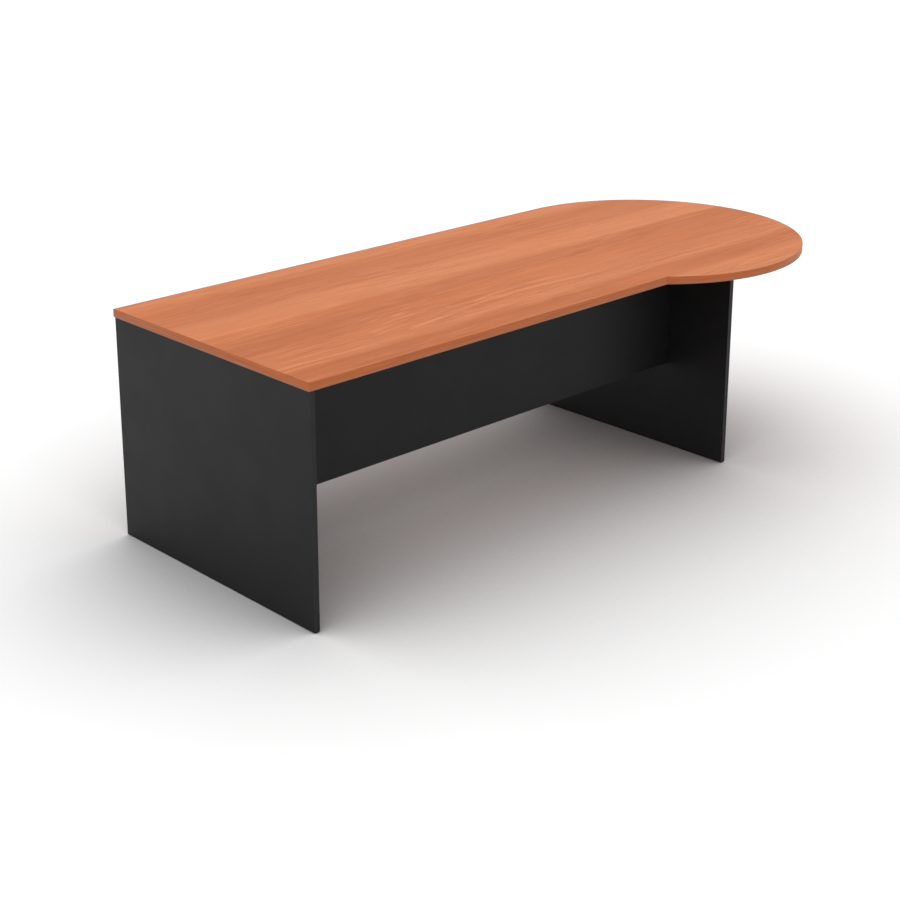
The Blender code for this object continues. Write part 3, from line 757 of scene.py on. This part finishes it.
# %% [markdown]
# ## Edge bands of the panels
#
# The panels' edges carry the same kind of strip, 1 mm thick, in charcoal. These are straight, so
# one helper draws a section of two rounded corners along the strip's longest side, for any of the
# three directions that such a strip can face.

# %% Draw the bands of the panels
panel_arris = 0.0007  # radius of the rounding


def straight_band(name, node, out):
    """A strip in the box of its solid. Its outer long edges, on the side out faces, are rounded."""
    low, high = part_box(node)
    size = high - low
    face = max(range(3), key=lambda axis: abs(out[axis]))
    length = max((axis for axis in range(3) if axis != face), key=lambda axis: size[axis])
    across = 3 - face - length
    thick, wide = size[face], size[across]
    quarter = [math.pi / 2 * step / arris_steps for step in range(arris_steps + 1)]
    rim = [(panel_arris - panel_arris * math.cos(a), thick - panel_arris + panel_arris * math.sin(a), 1)
           for a in quarter]
    half = [(0, 0, 0)] + rim + [(panel_arris + flat_guard, thick, 0)]
    section = half + [(wide - a, b, arris) for a, b, arris in half[::-1]]
    points = []
    for end in (low[length], high[length]):
        for a, b, arris in section:
            point = [0.0, 0.0, 0.0]
            point[length] = end
            point[across] = low[across] + a
            point[face] = high[face] - thick + b if out[face] > 0 else low[face] + thick - b
            points.append(point)
    count = len(section)
    faces = [(k, (k + 1) % count, count + (k + 1) % count, count + k) for k in range(count)]
    faces += [tuple(range(count)), tuple(range(count, 2 * count))]
    numbers = [arris for a, b, arris in section] * 2
    return add_piece(name, points, faces, node, arris=numbers)


strips = [(f"{side}_{edge}_banding", f"{side}_end_panel_{edge}_band", (0, way, 0))
          for side in ("left", "right") for edge, way in (("front", -1), ("back", 1))]
strips.append(("modesty_bottom_banding", "modesty_panel_bottom_band", (0, 0, -1)))
for name, node, out in strips:
    straight_band(name, node, out)
print(len(strips), "straight bands with", round(1000 * panel_arris, 1), "mm arrises")

# %% [markdown]
# ## Turned and moulded pieces
#
# Caps, foot bases and stems are round, so they are grids: rows up the piece, each with a radius,
# and stations round it. A row's radius may be a number or a function of the angle, which is how
# one helper can make a smooth cap, six spanner flats and a screw thread.

# %% Make the turning helper
def turned_grid(rows, stations, arris_rows=()):
    """Points, faces and arris numbers of a grid round +Z. A row is (height, radius)."""
    points = [(0, 0, rows[0][0])]
    for height, radius in rows:
        for station in range(stations):
            angle = math.tau * station / stations
            reach = radius(angle) if callable(radius) else radius
            points.append((reach * math.cos(angle), reach * math.sin(angle), height))
    points.append((0, 0, rows[-1][0]))
    faces = []
    for row in range(len(rows) - 1):
        for station in range(stations):
            here = 1 + row * stations + station
            there = 1 + row * stations + (station + 1) % stations
            faces.append((here, there, there + stations, here + stations))
    last = 1 + (len(rows) - 1) * stations
    for station in range(stations):
        follower = (station + 1) % stations
        faces.append((0, 1 + follower, 1 + station))
        faces.append((last + station, last + follower, len(points) - 1))
    rubbed = [float(row in arris_rows) for row in range(len(rows)) for _ in range(stations)]
    return points, faces, [0.0] + rubbed + [0.0]


print("turning helper is ready")

# %% [markdown]
# ## Cover caps
#
# Each cam lock is hidden by a push-in cap. It is a thin moulded disc with a rolled rim, a shallow
# dish inside the rim and a stub that grips the recess in the cam. The middle of its solid is the
# cap's axis, and the face of the board that the cam is let into is where its rim sits.

# %% Mould the cover caps
# Heights above the board's face and radii, from the end of the stub round the rim to the dish
cap_rows = [(-0.0014, 0.0023), (-0.0010, 0.0028), (0.0003, 0.0028), (0.0003, 0.0080), (0.0005, 0.0084),
            (0.0008, 0.0085), (0.0011, 0.0083), (0.00135, 0.0079), (0.0015, 0.0074), (0.0015, 0.0070),
            (0.00138, 0.0066), (0.00122, 0.0063), (0.00118, 0.0058), (0.00122, 0.0030), (0.00124, 0.0008)]
cap_stations = 48
cap_rim = range(5, 10)  # the rows that hands and cloths rub
# By the start of a cap's name: a corner on its board's face, the axis across that face, the way out
cap_faces = {"left_panel": (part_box("left_end_panel")[1], 0, 1),
             "right_panel": (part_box("right_end_panel")[0], 0, -1),
             "modesty": (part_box("modesty_panel")[1], 1, 1)}
cap_nodes = sorted(name for name in frame["nodes"] if "_cam_cap_" in name)
for node in cap_nodes:
    corner, axis, way = next(face for start, face in cap_faces.items() if node.startswith(start))
    low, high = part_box(node)
    seat = (low + high) / 2
    seat[axis] = corner[axis]
    outward = Vector((0, 0, 0))
    outward[axis] = way
    into_place = Matrix.Translation(seat) @ outward.to_track_quat("Z", "Y").to_matrix().to_4x4()
    points, faces, numbers = turned_grid(cap_rows, cap_stations, cap_rim)
    points = [into_place @ Vector(point) for point in points]
    add_piece(node.replace("cam_cap", "cover_cap"), points, faces, node, arris=numbers)
print(len(cap_nodes), "cover caps,", round(2000 * max(radius for height, radius in cap_rows)), "mm across")

# %% [markdown]
# ## Levelling feet
#
# A foot is a nylon base that stays still on the floor and a steel stem that turns in it. The
# base has grip rings underneath, and a collar that snaps over the stem's ball. Both are rounder
# here than in the solids, and they keep the solids' sizes.

# %% Turn the foot bases
# Heights and radii, from the middle underneath out over the grip rings, round the rim, up the
# collar and down inside it
base_rows = [(0.0, 0.0018), (0.0, 0.0026), (0.0003, 0.0029), (0.0003, 0.0035), (0.0, 0.0038),
             (0.0, 0.0050), (0.0003, 0.0053), (0.0003, 0.0059), (0.0, 0.0062), (0.0, 0.0073),
             (0.0002, 0.0078), (0.0006, 0.0080), (0.0018, 0.0080), (0.0022, 0.0079), (0.0025, 0.0075),
             (0.0025, 0.0056), (0.0027, 0.0052), (0.0031, 0.0050), (0.0055, 0.0050), (0.0058, 0.0049),
             (0.0060, 0.0046), (0.0060, 0.00295), (0.0058, 0.00275), (0.0049, 0.00275), (0.0049, 0.0035),
             (0.0013, 0.0035), (0.0013, 0.0010)]
base_stations = 64
base_rims = (10, 11, 12, 13, 18, 19, 20)  # the rows at the base's and the collar's outer edges
feet = [f"{side}_{end}_foot" for side in ("left", "right") for end in ("front", "back")]
for foot in feet:
    low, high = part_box(f"{foot}_base")
    middle = (low + high) / 2
    points, faces, numbers = turned_grid(base_rows, base_stations, base_rims)
    points = [(middle.x + x, middle.y + y, z) for x, y, z in points]
    add_piece(f"{foot}_glide", points, faces, f"{foot}_base", f"{foot}_base", arris=numbers)
print(len(feet), "foot bases,", len(base_rows), "rows each")

# %% [markdown]
# The stem is an M8 screw with six flats for an 8 mm spanner above its ball. The thread is a real
# one of 1.25 mm pitch: a point on it stands out or lies back by how far it has climbed and how far
# round it is, so a grid of close rows shows a clean helix. It fades in and out over one turn.

# %% Shape the flats and the thread
pitch = 0.00125
thread_foot, thread_top = 0.0098, 0.0350
crest, root = 0.0038, 0.0031
spanner_half = 0.004
flank_slope, root_flat = 1.6, 0.3  # make the thread's ridge a blunt one, not a wave


def hexagon(limit):
    """Radius of an 8 mm hexagon, with its corners turned down to the limit."""
    def radius(angle):
        off_flat = (angle + math.pi / 6) % (math.pi / 3) - math.pi / 6
        return min(spanner_half / math.cos(off_flat), limit)
    return radius


def thread(height):
    """Radius of the thread at this height, against the angle."""
    def radius(angle):
        climbed = (height / pitch - angle / math.tau) % 1.0
        ridge = min(1.0, max(0.0, flank_slope * (1 - abs(2 * climbed - 1)) - root_flat))
        fade = min(1.0, (height - thread_foot) / pitch, (thread_top - height) / pitch)
        return root + (crest - root) * ridge * max(0.0, fade)
    return radius


print("flats", round(2000 * spanner_half), "mm apart, thread", round(2000 * crest, 1), "mm across")

# %% [markdown]
# The rows of the stem follow one another from the ball at its foot, over the neck and the flats,
# up the thread and to its turned-off tip. The thread takes eight rows for each turn.

# %% Turn the stems
# Heights and radii, from the foot of the ball to the end of the flats
stem_rows = [(0.0016, 0.0016), (0.0017, 0.0023), (0.0021, 0.0029), (0.0028, 0.0032), (0.0036, 0.0031),
             (0.0042, 0.0027), (0.0046, 0.0024), (0.0063, 0.0024), (0.0063, hexagon(0.0040)),
             (0.0066, hexagon(0.0045)), (0.0068, hexagon(0.0047)), (0.0088, hexagon(0.0047)),
             (0.0090, hexagon(0.0045)), (0.0093, hexagon(0.0040)), (0.0093, 0.0031), (0.0096, 0.0031)]
stem_stations = 48
rows_a_turn = 8
thread_rows = round((thread_top - thread_foot) / pitch * rows_a_turn)
climb = [thread_foot + (thread_top - thread_foot) * step / thread_rows for step in range(thread_rows + 1)]
stem_rows += [(height, thread(height)) for height in climb]
stem_rows += [(0.0353, 0.0031), (0.0358, 0.0026)]
for foot in feet:
    low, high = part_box(f"{foot}_stem")
    middle = (low + high) / 2
    points, faces, numbers = turned_grid(stem_rows, stem_stations)
    points = [(middle.x + x, middle.y + y, z) for x, y, z in points]
    add_piece(f"{foot}_screw", points, faces, f"{foot}_stem", f"{foot}_stem", arris=numbers)
print("thread of", round((thread_top - thread_foot) / pitch), "turns on", len(feet), "stems")

# %% [markdown]
# ## Finish
#
# The dressed desk has to stay the size of its solids.

# %% Finish
import json

bpy.context.view_layer.update()
